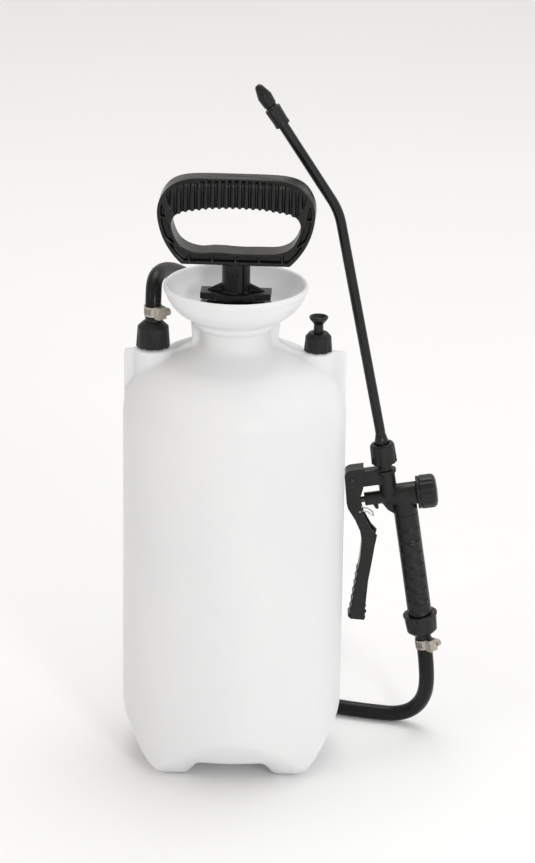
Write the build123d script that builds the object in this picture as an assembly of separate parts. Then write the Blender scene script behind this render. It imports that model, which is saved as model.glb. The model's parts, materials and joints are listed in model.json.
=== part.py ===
"""A hand-pumped pressure sprayer: tank with filling funnel, pump, hose, trigger gun and bent lance.

The frame is in millimetres. The origin is where the tank's axis meets the floor. +X points to the gun, in the
plane of the tank's side webs, +Y points to the back and +Z points up.
"""
from build123d import *
import math
import os

# ---- tank ----
TANK_R = 95.0            # outside radius of the round body
WALL = 2.6
SHOULDER_Z = 314.0       # where the straight side ends
NECK_R = 30.0
NECK_Z = 374.0           # where the dome meets the neck
BOWL_FOOT_Z = 391.0      # where the funnel grows out of the neck
RIM_Z = 427.0
RIM_R = 61.0
LEDGE_Z = 400.0          # seat of the pump lid inside the funnel
NECK_BORE_R = 26.0
FLAT_FOOT = 63.3         # distance from the axis to a slanted side at floor level
FLAT_SLOPE = 23.0 / 31.6
ARCH_Z = 16.5            # height of the hollow between two feet
ARCH_HALF_TOP = 28.0
ARCH_HALF_FOOT = 45.0
WEB_HALF = 3.2           # half the thickness of a side web
WEB_X = 94.0
WEB_TOP_Z = 368.2
BASE_TOP_Z = 48.0        # the wall is kept in bands that meet at these three heights and at the shoulder
DOME_SPLIT_Z = 346.0
NECK_SPLIT_Z = 378.0

# ---- ports on the shoulder ----
OUTLET_X = -69.5
RELIEF_X = 70.0
OUTLET_TOP_Z = 369.5
RELIEF_TOP_Z = 368.0
OUTLET_BORE_R = 7.0
RELIEF_BORE_R = 3.0
RELIEF_SEAT_Z = 364.0

# ---- pump ----
LID_LOW_Z = 402.05
LID_TOP_Z = 410.0
LID_R = 30.4
CYLINDER_R = 20.0
CYLINDER_BORE_R = 18.0
CYLINDER_LOW_Z = 150.0
CYLINDER_TOP_Z = 401.0
ROD_R = 7.0
PISTON_LOW_Z = 172.0
PLATE_LOW_Z = 415.3
PLATE_TOP_Z = 420.7
SLEEVE_R = 11.9

# ---- handle ----
HANDLE_TURN = -3.0       # degrees about the pump axis, at rest
HANDLE_LOW_Z = 446.0
HANDLE_TOP_Z = 521.4
HANDLE_DEPTH = 23.6
HANDLE_ROUNDING = 9.4    # of the top's front and back edges
RIVET_TURN = 20.0        # the rivet and the sleeve's groove point this far off the front
RIVET_Z = 436.0

# ---- hose ----
HOSE_R = 6.8
HOSE_BORE_R = 4.25
BARB_R = 4.2

# ---- gun: its own frame has its origin on the valve axis over the grip ----
GUN_X = 146.9
GUN_Y = 34.0
GUN_Z = 226.6
GUN_LEAN = 8.8           # degrees, to the left
GRIP_R = 10.65
LANCE_U = -12.6          # lance socket axis, along the gun's own X
LANCE_R = 4.35
ARM_END_U = -34.0         # where the valve stem comes out
PIVOT_U = -41.6
PIVOT_W = 21.5
WIRE_U = -39.2           # where the lock wire turns in the lever's cheeks
WIRE_W = -8.5
WIRE_R = 0.7
GUN_BARB_W = -154.0      # lower end of the hose barb under the grip

UP = (Align.CENTER, Align.CENTER, Align.MIN)
GUN = Location((GUN_X, GUN_Y, GUN_Z), (0, -GUN_LEAN, 0))


def rod(radius, low, high):
    """An upright cylinder between two heights."""
    return Pos(0, 0, low) * Cylinder(radius, high - low, align=UP)


def ring(outer, inner, low, high):
    return rod(outer, low, high) - rod(inner, low - 1, high + 1)


def cone(low_r, high_r, low, high):
    return Pos(0, 0, low) * Cone(low_r, high_r, high - low, align=UP)


def slab(x0, x1, y0, y1, z0, z1):
    return Pos((x0 + x1) / 2, (y0 + y1) / 2, (z0 + z1) / 2) * Box(x1 - x0, y1 - y0, z1 - z0)


def plate_xz(points, depth, y=0.0):
    """A flat outline in the XZ plane, with a thickness along Y about y."""
    outline = Plane.XZ * make_face(Polyline(*points, close=True))
    return Pos(0, y, 0) * extrude(outline, depth / 2, both=True)


def turned(points):
    """A solid of revolution about Z from a closed outline of (radius, height) points."""
    return revolve(Plane.XZ * make_face(Polyline(*points, close=True)), Axis.Z)


def around(count, radius, start=0.0):
    """Places spaced evenly on a circle about Z."""
    for k in range(count):
        yield Rot(0, 0, start + 360 / count * k) * Pos(radius, 0, 0)


def fluted(blank, count, circle_r, cutter_r, low, high, start=0.0):
    """A blank with upright grooves cut round it."""
    for place in around(count, circle_r, start):
        blank -= place * rod(cutter_r, low, high)
    return blank


def helix_spring(radius, wire_r, low, high, turns):
    """An open coil spring about Z."""
    path = Helix(pitch=(high - low - 2 * wire_r) / turns, height=high - low - 2 * wire_r, radius=radius)
    section = Plane(path @ 0, z_dir=path % 0) * Circle(wire_r)
    return Pos(0, 0, low + wire_r) * sweep(section, path=path)


def along_u(shape):
    """Turns a shape drawn about Z so that its Z runs along X."""
    return Rot(0, 90, 0) * shape


# ---------------------------------------------------------------- tank


def tank_form(inset):
    """The tank's outer form, or its inner form when inset is the wall thickness."""
    r = TANK_R - inset
    low = inset
    foot_r = 81.0
    dome = [(TANK_R, SHOULDER_Z), (92.4, 330.0), (83.0, 347.0), (66.0, 360.5), (48.0, 367.8), (36.0, 371.2)]
    side = [(0, low), (foot_r - inset, low), (89.5 - inset, 5.0 + inset), (93.6 - inset, 12.0), (r, 20.0)]
    crown = [(radius - inset, height - inset) for radius, height in dome]
    if inset:
        top = [(NECK_BORE_R, NECK_Z - inset), (NECK_BORE_R, LEDGE_Z + 5), (0, LEDGE_Z + 5)]
    else:
        top = [(NECK_R, NECK_Z + 3), (NECK_R, BOWL_FOOT_Z), (0, BOWL_FOOT_Z)]
    body = turned(side + crown + top)
    for quarter in range(4):
        body -= Rot(0, 0, 90 * quarter) * slanted_side(inset)
    for quarter in range(2):
        body -= Rot(0, 0, 90 * quarter) * arch(inset)
    return body


def slanted_side(inset):
    """The wedge that is missing from one side of the tank's foot."""
    shift = inset / math.cos(math.atan(FLAT_SLOPE))
    low = -10.0
    top = 60.0
    points = [
        (FLAT_FOOT - shift + FLAT_SLOPE * low, low),
        (FLAT_FOOT - shift + FLAT_SLOPE * top, top),
        (140, top),
        (140, low),
    ]
    return plate_xz(points, 240)


def arch(inset):
    """The hollow that runs under the tank between its feet."""
    top = ARCH_Z + inset
    half_top = ARCH_HALF_TOP + inset * 0.6
    slope = (ARCH_HALF_FOOT - ARCH_HALF_TOP) / ARCH_Z
    points = [
        (-half_top, top),
        (half_top, top),
        (half_top + slope * (top + 5), -5),
        (-half_top - slope * (top + 5), -5),
    ]
    return plate_xz(points, 240)


def bowl_form():
    return turned(
        [
            (0, BOWL_FOOT_Z), (34.0, BOWL_FOOT_Z), (35.8, 394.0), (35.8, 396.5), (41.0, 399.0), (48.0, 403.5),
            (54.0, 409.5), (58.6, 417.0), (60.4, 422.0), (RIM_R, 424.0), (RIM_R, 426.0), (60.0, RIM_Z),
            (57.4, RIM_Z), (56.0, 424.5), (53.4, 417.0), (49.0, 410.5), (43.0, 405.0), (35.0, 401.5),
            (32.0, LEDGE_Z), (0, LEDGE_Z),
        ]
    )


def tank_band(low, high):
    """The tank's wall between two heights."""
    wall = tank_form(0) + bowl_form() - tank_form(WALL) - rod(NECK_BORE_R, 360, LEDGE_Z + 1)
    wall -= Pos(OUTLET_X, 0, 0) * rod(OUTLET_BORE_R, 320, 390)
    wall -= Pos(RELIEF_X, 0, 0) * rod(RELIEF_BORE_R, 320, 390)
    return wall & slab(-120, 120, -120, 120, low, high)


def make_tank_base():
    return tank_band(-1, BASE_TOP_Z)


def make_tank_wall():
    return tank_band(BASE_TOP_Z, SHOULDER_Z)


def make_tank_shoulder():
    return tank_band(SHOULDER_Z, DOME_SPLIT_Z)


def make_tank_dome():
    return tank_band(DOME_SPLIT_Z, NECK_SPLIT_Z)


def make_tank_funnel():
    return tank_band(NECK_SPLIT_Z, RIM_Z + 1)


def side_web(side):
    """The flat web and the upright lug on one side of the neck."""
    web = [
        (55, 340), (80, 322), (91.5, 316), (WEB_X, 330), (WEB_X, 366.2), (92, WEB_TOP_Z), (56, WEB_TOP_Z),
        (36.5, 377.5), (28, 377.5), (28, 360),
    ]
    lug = [(28, 365), (37.0, 365), (36.2, 380), (37.8, 397), (28, 393)]
    both = plate_xz([(side * x, z) for x, z in web], 2 * WEB_HALF)
    return both + plate_xz([(side * x, z) for x, z in lug], 9.0)


def make_outlet_shoulder():
    """The web, lug and port boss on the hose's side."""
    bosses = Pos(OUTLET_X, 0, 0) * (rod(16.0, 325, OUTLET_TOP_Z) + rod(10.2, 360, 384.0))
    shoulder = side_web(-1) + bosses - tank_form(0) - bowl_form()
    return shoulder - Pos(OUTLET_X, 0, 0) * rod(OUTLET_BORE_R, 320, 390)


def make_relief_shoulder():
    """The web, lug and port boss on the relief valve's side."""
    bosses = Pos(RELIEF_X, 0, 0) * (rod(13.6, 325, RELIEF_TOP_Z) + rod(8.6, 360, 378.0))
    shoulder = side_web(1) + bosses - tank_form(0) - bowl_form()
    return shoulder - Pos(RELIEF_X, 0, 0) * (rod(RELIEF_BORE_R, 320, 390) + rod(6.3, RELIEF_SEAT_Z, 390))


# ---------------------------------------------------------------- pump


def make_pump_lid():
    lid = fluted(rod(LID_R, LID_LOW_Z, LID_TOP_Z), 16, LID_R + 1.2, 2.2, LID_LOW_Z - 1, LID_TOP_Z + 1, 11.25)
    lid += ring(NECK_BORE_R - 0.2, CYLINDER_R + 0.05, 385.0, LID_LOW_Z)
    lid -= rod(CYLINDER_R + 0.05, 380.0, CYLINDER_TOP_Z + 0.05)
    lid -= rod(ROD_R + 0.4, 380, 420)
    lid -= rod(10.0, 380, 405.0)
    for turn in (90, 270):
        lid += Rot(0, 0, turn) * lock_hook()
    return lid


def lock_hook():
    """One of the two hooks that the tabs under the handle turn into."""
    post = slab(26.0, 28.4, -8, 10, LID_TOP_Z - 1, 414.2)
    lip = slab(21.2, 28.4, -8, 10, 412.7, 414.2)
    stop = slab(21.2, 28.4, 8, 10, LID_TOP_Z - 1, 414.2)
    return post + lip + stop


def make_pump_cylinder():
    return ring(CYLINDER_R, CYLINDER_BORE_R, CYLINDER_LOW_Z, CYLINDER_TOP_Z)


def make_cylinder_foot():
    """The plug in the cylinder's lower end, with the air ports and the valve's middle hole."""
    foot = rod(CYLINDER_BORE_R - 0.05, CYLINDER_LOW_Z, 158.0) + rod(CYLINDER_R, 147.0, CYLINDER_LOW_Z)
    foot -= rod(1.7, 140, 160)
    for place in around(6, 6.0):
        foot -= place * rod(1.6, 140, 160)
    return foot


def make_check_disc():
    """A rubber flap below the foot, held by its stem and a bead."""
    return rod(9.5, 145.2, 146.9) + rod(1.6, 146.0, 160.0) + cone(2.6, 1.2, 159.9, 163.0)


def make_lid_seal():
    return ring(29.0, NECK_BORE_R + 0.3, LEDGE_Z + 0.05, LID_LOW_Z - 0.05)


def make_rod_wiper():
    return ring(9.95, ROD_R + 0.05, 401.5, 404.95)


def make_pump_rod():
    return ring(ROD_R, 4.6, 180.3, 440.0) - rivet_shape(2.03, 60)


def make_piston():
    piston = rod(17.4, PISTON_LOW_Z, 188.0) - ring(19.0, 14.0, 176.0, 182.0)
    return piston - rod(ROD_R + 0.05, 180.0, 200.0) - rod(2.6, 160, 190)


def make_piston_cup():
    return ring(17.93, 14.05, 176.1, 181.9) - ring(17.0, 15.4, 179.0, 182.0)


def make_piston_screw():
    return rod(6.5, 168.6, PISTON_LOW_Z - 0.05) + rod(2.55, 170, 179.8)


# Half of the grip's outline, from the top's middle down to its flat foot, and half of its opening's.
GRIP_OUTLINE = [
    (0, HANDLE_TOP_Z), (28, 520.5), (47, 517.4), (56.6, 512.0), (62.4, 504.5), (65.4, 496.5), (66.0, 489.0),
    (64.6, 479.0), (60.8, 467.5), (54.6, 456.5), (45.4, HANDLE_LOW_Z),
]
OPENING_OUTLINE = [
    (0, 495.4), (22, 494.6), (42, 491.6), (51.2, 487.4), (54.0, 481.0), (52.6, 473.0), (47.6, 463.4), (39, 457.8),
    (24, 456.2), (0, 456.0),
]


def both_sides(half):
    """A whole outline from its right half, which starts on the middle line."""
    return [(-x, z) for x, z in reversed(half[1:])] + half


def moved_in(points, step):
    """The points of a clockwise open outline, each moved towards its inside."""
    moved = []
    for k, (x, z) in enumerate(points):
        (x0, z0), (x1, z1) = points[max(k - 1, 0)], points[min(k + 1, len(points) - 1)]
        length = math.hypot(x1 - x0, z1 - z0)
        moved.append((x + (z1 - z0) / length * step, z - (x1 - x0) / length * step))
    return moved


def grip_face(inset=0.0):
    points = moved_in(both_sides(GRIP_OUTLINE), inset)
    points[0] = (points[0][0], HANDLE_LOW_Z + inset)
    points[-1] = (points[-1][0], HANDLE_LOW_Z + inset)
    return make_face(Spline(*points) + Line(points[-1], points[0]))


def opening_face(inset=0.0):
    """The hand's opening; a negative inset gives a larger outline."""
    points = both_sides(OPENING_OUTLINE)[1:]
    ahead = points[1:] + points[:1]
    behind = points[-1:] + points[:-1]
    moved = []
    for (x, z), (x0, z0), (x1, z1) in zip(points, behind, ahead):
        length = math.hypot(x1 - x0, z1 - z0)
        moved.append((x + (z1 - z0) / length * inset, z - (x1 - x0) / length * inset))
    return make_face(Spline(*moved, periodic=True))


def make_handle_grip():
    grip = extrude(Plane.XZ * (grip_face() - opening_face()), HANDLE_DEPTH / 2, both=True)
    grip &= rounded_section()
    for front in (-1, 1):
        grip -= channel(front)
    sleeve = rod(SLEEVE_R, PLATE_LOW_Z, HANDLE_LOW_Z + 2)
    body = Rot(0, 0, HANDLE_TURN) * (grip + sleeve + lock_plate())
    body -= Rot(0, 0, RIVET_TURN) * slab(-3.0, 3.0, -20, -8.6, PLATE_TOP_Z, HANDLE_LOW_Z)
    body -= rod(ROD_R + 0.03, 400, 440.05)
    return body - rivet_shape(2.03, 60)


def rounded_section():
    """A bar along X whose section rounds off the grip's top towards the front and the back."""
    section = Rectangle(HANDLE_DEPTH, 100)
    section = Pos(0, HANDLE_TOP_Z - 50) * fillet(section.vertices().group_by(Axis.Y)[-1], HANDLE_ROUNDING)
    return extrude(Plane.YZ * section, 80, both=True)


def channel(front):
    """The recess between the rims of the grip's sides and lower bar, with small ribs left across it."""
    depth = 5.0
    y = front * (HANDLE_DEPTH / 2 - depth / 2)
    field = Polygon((-57.5, 480), (-63.5, 508), (-63.5, 540), (63.5, 540), (63.5, 508), (57.5, 480), align=None)
    trough = grip_face(3.0) - opening_face(-2.4) - field
    cut = Pos(0, y, 0) * extrude(Plane.XZ * trough, depth / 2 + 0.001, both=True)
    for x in (-39, -19.5, 0, 19.5, 39):
        cut -= slab(x - 0.7, x + 0.7, -20, 20, HANDLE_LOW_Z, 460)
    for side in (-1, 1):
        for x, z, tilt in ((56.0, 466.0, 40), (60.5, 486.0, 8)):
            cut -= Pos(side * x, 0, z) * Rot(0, side * -tilt, 0) * slab(-9, 9, -20, 20, -0.7, 0.7)
    return cut


def lock_plate():
    """The flange under the sleeve, with its two wings and gussets, and the two lock tabs below it."""
    half = [(0, -17.5), (8, -17.0), (13, -14.5), (18, -10.0), (29.7, -9.5)]
    half += [(x, -y) for x, y in reversed(half)]
    outline = half + [(-x, -y) for x, y in half[1:-1]]
    plate = Pos(0, 0, PLATE_LOW_Z) * extrude(make_face(Polyline(*outline, close=True)), PLATE_TOP_Z - PLATE_LOW_Z)
    gusset = [(10, PLATE_TOP_Z - 1), (24, PLATE_TOP_Z - 1), (24, PLATE_TOP_Z + 0.8), (10, PLATE_TOP_Z + 7.5)]
    for side in (-1, 1):
        plate += plate_xz([(side * x, z) for x, z in gusset], 3.0)
    plate += rod(12.5, LID_TOP_Z + 0.6, PLATE_LOW_Z + 1)
    return plate + slab(-24.6, 24.6, -6.5, 6.5, LID_TOP_Z + 0.6, 412.4)


def rivet_shape(radius, length):
    """A level pin through the sleeve and the rod."""
    return Rot(0, 0, RIVET_TURN) * Pos(0, 0, RIVET_Z) * Rot(90, 0, 0) * Cylinder(radius, length)


def make_handle_rivet():
    return rivet_shape(2.0, 19.6)


# ---------------------------------------------------------------- outlet and relief valve


def make_outlet_nut():
    blank = cone(14.4, 13.2, 370.7, 388.0) + cone(13.2, 8.4, 388.0, 392.6)
    blank = fluted(blank, 9, 15.6, 2.4, 370, 389.5)
    blank -= rod(10.3, 370, 384.1) + rod(10.1, 384.0, 388.1)
    return Pos(OUTLET_X, 0, 0) * (blank - rod(6.95, 380, 396))


def make_outlet_seal():
    return Pos(OUTLET_X, 0, 0) * ring(10.0, 6.3, 384.05, 385.95)


def make_outlet_barb():
    barb = rod(10.0, 386.0, 388.0) + rod(6.9, 388.0, 395.95) + rod(BARB_R, 395.0, 404.0)
    barb += rod(BARB_R, 368.0, 386.0)
    return Pos(OUTLET_X, 0, 0) * (barb - rod(2.6, 360, 420))


def make_dip_tube():
    return Pos(OUTLET_X, 0, 0) * ring(6.0, BARB_R + 0.03, 40.0, 383.0)


def make_dip_strainer():
    strainer = ring(6.9, 6.03, 26.0, 46.0) + rod(6.9, 26.0, 27.6)
    for turn in range(0, 360, 60):
        strainer -= Rot(0, 0, turn) * slab(3, 9, -1.0, 1.0, 29.5, 37.5)
    return Pos(OUTLET_X, 0, 0) * strainer


def make_relief_nut():
    nut = cone(12.1, 11.0, 368.6, 381.0) + cone(11.0, 8.0, 381.0, 384.5)
    nut = fluted(nut, 9, 13.0, 2.0, 367, 382.5)
    nut -= rod(8.7, 367, 378.1) + rod(6.4, 378.0, 381.9) + rod(4.35, 380, 386)
    return Pos(RELIEF_X, 0, 0) * nut


def make_relief_knob():
    knob = turned(
        [
            (0, 367.6), (2.2, 367.6), (2.2, 380.0), (4.1, 380.0), (4.1, 392.0), (7.6, 396.5), (8.1, 398.2),
            (7.6, 399.0), (6.4, 398.6), (4.6, 396.0), (0, 395.2),
        ]
    )
    return Pos(RELIEF_X, 0, 0) * knob


def make_relief_piston():
    return Pos(RELIEF_X, 0, 0) * (rod(5.9, 365.4, 367.5) + ring(3.2, 2.22, 367.5, 370.0))


def make_relief_seal():
    return Pos(RELIEF_X, 0, 0) * rod(5.2, RELIEF_SEAT_Z + 0.2, 365.35)


def make_relief_spring():
    return Pos(RELIEF_X, 0, 0) * helix_spring(4.9, 0.5, 367.6, 381.8, 6)


# ---------------------------------------------------------------- gun


def make_gun_body():
    body = along_u(rod(10.0, -5.5, 11.5) + rod(9.0, 11.0, 19.0) + rod(5.8, ARM_END_U, -4.0))
    body += along_u(cone(5.8, 10.0, -16.5, -5.5))
    body += Pos(LANCE_U, 0, 0) * (rod(7.7, 0, 22.5) + rod(6.2, 20, 33) + rod(7.8, 32.5, 40))
    body += Pos(LANCE_U, 0, 0) * rod(9.2, 22.2, 25.2)
    body += rod(10.4, -17.5, -2.0) + rod(7.4, -29.0, -17.0)
    body += plate_xz([(-33, 13.3), (-12, 13.3), (-12, 27), (-44, 27), (-46, 25), (-46, 17.5)], 12.0)
    body += plate_xz([(-19.5, 0), (-19.5, -5), (-15.5, -12), (-9, -17.3), (-4, -17.3), (-4, 0)], 5.0)
    body += plate_xz([(-27.2, -4), (-27.0, -6.5), (-25.4, -10.0), (-22.8, -10.0), (-23.0, -6.5), (-22, -4)], 4.0)
    body -= along_u(rod(6.8, -3.0, 30.0) + rod(3.4, -6.0, -2.0) + rod(4.2, -19.0, -5.0))
    body -= along_u(rod(2.65, -40.0, -15.0) + rod(4.5, -36.0, -30.5))
    body -= Pos(LANCE_U, 0, 0) * (rod(2.6, -1, 20) + rod(LANCE_R + 0.07, 16, 45))
    body -= rod(5.0, -40, 0)
    body -= Pos(PIVOT_U, 0, PIVOT_W) * Rot(90, 0, 0) * Cylinder(2.02, 40)
    return GUN * body


def make_lever():
    outline = [
        (-43.0, 30.6), (-46.5, 29.2), (-48.2, 26.0), (-49.8, 1.0), (-49.2, -4.0), (-44.4, -15.6), (-41.6, -26.0),
        (-41.4, -36.0), (-45.3, -52.4), (-51.5, -72.1), (-61.5, -104.5), (-60.8, -106.6), (-49.0, -109.4),
        (-48.6, -106.8), (-40.8, -73.6), (-34.5, -53.9), (-30.6, -41.0), (-27.4, -32.0), (-31.5, -26.0),
        (-36.4, -13.0), (-37.6, -4.0), (-37.0, 5.0), (-33.6, 13.0), (-30.8, 30.6),
    ]
    hollow = [
        (-46.7, 28.6), (-47.9, 1.0), (-47.3, -3.6), (-42.5, -15.2), (-39.7, -25.8), (-39.5, -36.2),
        (-43.4, -53.0), (-49.6, -72.8), (-58.8, -104.0), (-30, -112), (-10, -40), (-10, 28.6),
    ]
    lever = plate_xz(outline, 17.0) - plate_xz(hollow, 13.4)
    lever += plate_xz([(-48.5, 3.6), (-40.0, 3.4), (-40.0, -3.4), (-48.5, -3.6)], 8.0)
    lever -= Pos(PIVOT_U, 0, PIVOT_W) * Rot(90, 0, 0) * Cylinder(2.0, 40)
    lever -= Pos(WIRE_U, 0, WIRE_W) * Rot(90, 0, 0) * Cylinder(0.75, 40)
    return GUN * lever


def make_lever_pin():
    return GUN * Pos(PIVOT_U, 0, PIVOT_W) * Rot(90, 0, 0) * Cylinder(1.98, 17.6)


def make_lock_wire():
    """A steel bail: a cross wire held in the lever's cheeks and a loop that catches the hook on the gun."""
    half = 4.6
    points = [
        (WIRE_U, 7.6, WIRE_W), (WIRE_U, half, WIRE_W), (-33.0, half, -10.3), (-28.4, half, -14.6),
        (-28.4, -half, -14.6), (-33.0, -half, -10.3), (WIRE_U, -half, WIRE_W), (WIRE_U, -7.6, WIRE_W),
    ]
    path = FilletPolyline(*points, radius=1.3)
    section = Plane(path @ 0, z_dir=path % 0) * Circle(WIRE_R)
    return GUN * sweep(section, path=path)


def make_valve_stem():
    stem = rod(2.6, -37.1, 8.0) + rod(5.6, -2.0, 0.0)
    stem += Pos(0, 0, -37.1) * Sphere(2.6)
    return GUN * along_u(stem)


def make_valve_washer():
    return GUN * along_u(ring(5.2, 2.62, -2.8, -2.05))


def make_stem_seal():
    return GUN * along_u(ring(4.45, 2.65, -32.2, -30.6))


def make_gland_ring():
    return GUN * along_u(ring(4.48, 2.68, ARM_END_U, -32.25))


def make_valve_spring():
    return GUN * along_u(helix_spring(4.4, 0.55, 0.1, 24.8, 8))


def make_valve_cap():
    blank = turned(
        [
            (0, 11.6), (13.9, 11.6), (14.5, 12.2), (14.5, 13.6), (13.8, 14.0), (13.8, 14.5), (14.8, 15.0),
            (14.8, 24.8), (14.3, 26.6), (12.8, 28.2), (9.6, 29.2), (0, 29.6),
        ]
    )
    blank = fluted(blank, 10, 16.5, 2.5, 15.0, 27.6)
    blank -= rod(9.1, 11, 20.9) + rod(5.6, 20, 25.0)
    return GUN * along_u(blank)


def make_cap_seal():
    return GUN * along_u(ring(9.0, 6.9, 19.05, 20.85))


def make_grip():
    tube = ring(GRIP_R, 7.45, -112.2, -17.6) + ring(9.2, 7.45, -122.0, -112.0)
    for k in range(7):
        tube += Pos(0, -1.1, -34.0 - 11.3 * k) * Cylinder(10.3, 2.6)
    return GUN * (tube - rod(7.45, -130, -10))


def make_gun_filter():
    tube = ring(6.4, 5.4, -118.0, -60.0) + ring(7.4, 5.4, -121.5, -118.0) + rod(6.4, -60.5, -59.0)
    for turn in range(0, 360, 45):
        for low in (-112, -94, -78):
            tube -= Rot(0, 0, turn) * slab(4, 8, -1.2, 1.2, low, low + 13)
    return GUN * tube


def make_grip_nut():
    blank = turned(
        [
            (0, -131.8), (9.4, -131.8), (13.2, -128.6), (14.4, -115.0), (15.1, -114.6), (15.1, -112.8),
            (14.8, -112.4), (0, -112.4),
        ]
    )
    blank = fluted(blank, 10, 15.5, 2.2, -129.6, -115.2)
    blank -= rod(9.3, -122.1, -110) + rod(9.1, -126.1, -122.0) + rod(7.1, -140, -120)
    return GUN * blank


def make_grip_gasket():
    return GUN * ring(9.0, 5.5, -123.9, -122.05)


def make_gun_barb():
    barb = rod(9.0, -126.0, -124.0) + rod(7.0, -136.0, -126.0) + rod(BARB_R, GUN_BARB_W, -136.0)
    return GUN * (barb - rod(2.6, -160, -120))


def make_lance_nut():
    blank = cone(11.2, 10.7, 31.6, 47.4) + cone(10.7, 9.4, 47.4, 49.3)
    for place in around(8, 11.9, 22.5):
        blank -= place * rod(1.7, 31, 47)
    blank -= rod(7.9, 30, 45.2) + rod(6.9, 45, 50)
    return GUN * Pos(LANCE_U, 0, 0) * blank


def make_lance_seal():
    return GUN * Pos(LANCE_U, 0, 0) * ring(6.8, LANCE_R + 0.07, 40.1, 42.0)


def make_lance_ferrule():
    ferrule = turned(
        [
            (0, 42.2), (7.7, 42.2), (7.7, 45.0), (5.9, 45.0), (5.9, 51.0), (5.7, 53.0), (5.1, 54.8), (4.7, 57.0),
            (0, 57.0),
        ]
    )
    return GUN * Pos(LANCE_U, 0, 0) * (ferrule - rod(LANCE_R + 0.03, 40, 60))


# The lance's line in the gun's own frame: out of the socket, up, round its bend and on to the nozzle.
LANCE_LINE = [(LANCE_U, 18.0), (LANCE_U, 62.0), (-21.5, 261.0), (-59.0, 344.5)]
LANCE_RADII = [120, 62]


def lance_path(start=0.0):
    points = [(u, 0, w) for u, w in LANCE_LINE]
    return FilletPolyline(*points, radius=LANCE_RADII)


def make_lance():
    path = lance_path()
    section = Plane(path @ 0, z_dir=path % 0) * (Circle(LANCE_R) - Circle(2.6))
    return GUN * sweep(section, path=path)


def at_nozzle(shape):
    """Places a shape drawn about Z, with Z = 0 at the lance's end, on the end of the lance."""
    path = lance_path()
    end, way = path @ 1, path % 1
    return GUN * Pos(end.X, end.Y, end.Z) * Rot(0, math.degrees(math.atan2(way.X, way.Z)), 0) * shape


def make_nozzle_holder():
    holder = fluted(cone(6.4, 7.0, 0.0, 14.0), 8, 8.2, 1.7, -1, 15) + ring(5.0, 3.0, 13.0, 16.2)
    holder += ring(4.0, 2.9, 16.0, 25.0)
    holder += rod(6.6, -3.0, 0.0)
    return at_nozzle(holder - rod(2.9, -1, 30) - rod(LANCE_R + 0.03, -4, 0.03))


def make_nozzle_core():
    core = rod(2.85, 12.0, 24.0) - rod(1.2, 11, 22)
    return at_nozzle(core)


def make_nozzle_seal():
    return at_nozzle(ring(5.0, 4.05, 22.0, 23.6) - rod(4.02, 20, 25))


def make_nozzle_gasket():
    return at_nozzle(ring(4.9, 1.0, 27.0, 28.2))


def make_nozzle_cap():
    cap = cone(5.6, 6.3, 17.0, 26.0) + cone(6.3, 3.4, 26.0, 35.5) + cone(3.4, 2.2, 35.5, 37.0)
    for place in around(8, 7.1, 11):
        cap -= place * rod(1.3, 18.5, 31.0)
    cap -= rod(5.1, 16, 26.8) + rod(4.95, 26.7, 28.3) + rod(0.6, 20, 40)
    return at_nozzle(cap)


# ---------------------------------------------------------------- hose and its clamps

# The hose leaves the outlet upwards, drops behind the tank, makes one turn on the floor and rises to the gun.
HOSE_START = (OUTLET_X, 0.0, 396.0)
HOSE_ROUTE = [
    HOSE_START,
    (-69.5, 0, 413),
    (-69.0, 14, 426),
    (-63, 36, 426.5),
    (-53, 61, 418.5),
    (-37, 86, 402),
    (-20, 104, 362),
    (-15, 111, 300),
    (-26, 113, 225),
    (-44, 115, 150),
    (-42, 118, 88),
    (-18, 124, 40),
    (14, 130, 15),
    (60, 142, 6.8),
    (88, 196, 6.8),
    (71, 257, 6.8),
    (16, 288, 6.8),
    (-45, 271, 6.8),
    (-76, 216, 6.8),
    (-59, 155, 6.8),
    (-7, 122, 6.8),
    (46, 92, 6.8),
    (92, 73, 6.8),
    (124, 63, 6.8),
    (153, 56.5, 7.2),
    (170.5, 45, 26),
]


def gun_point(u, w):
    """A point in the gun's own frame, as row coordinates."""
    lean = math.radians(GUN_LEAN)
    return (
        GUN_X + u * math.cos(lean) - w * math.sin(lean),
        GUN_Y,
        GUN_Z + u * math.sin(lean) + w * math.cos(lean),
    )


def hose_route():
    return HOSE_ROUTE + [gun_point(0, -170.0), gun_point(0, -136.0)]


def hose_radii(points):
    """One radius for each corner, as large as its two runs allow."""
    radii = []
    for before, corner, after in zip(points, points[1:], points[2:]):
        a, b, c = Vector(*before), Vector(*corner), Vector(*after)
        turn = (b - a).get_angle(c - b)
        shorter = min((b - a).length, (c - b).length)
        radii.append(0.45 * shorter / math.tan(math.radians(turn / 2)))
    return radii


def make_hose():
    points = hose_route()
    radii = hose_radii(points)
    path = FilletPolyline(*points, radius=radii)
    section = Plane(path @ 0, z_dir=path % 0) * (Circle(HOSE_R) - Circle(HOSE_BORE_R))
    hose = sweep(section, path=path)
    runs = [math.dist(a, b) for a, b in zip(points, points[1:])]
    area = math.pi * (HOSE_R**2 - HOSE_BORE_R**2)
    print("hose runs", [round(r) for r in runs])
    print("hose radii", [round(r) for r in radii])
    print("hose length", round(path.length), "volume ratio", round(hose.volume / (area * path.length), 4))
    return hose


def clamp_band():
    """A worm-drive band about Z, centred on Z = 0, with its slots on the outside."""
    band = ring(7.7, 6.85, -4.2, 4.2)
    for turn in range(60, 330, 12):
        band -= Rot(0, 0, turn) * slab(7.35, 9, -0.35, 0.35, -2.6, 2.6)
    housing = slab(7.2, 12.8, -4.2, 4.2, -5.2, 5.2) - Pos(10.6, 0, 0) * Rot(90, 0, 0) * Cylinder(2.15, 20)
    return band + housing


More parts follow.
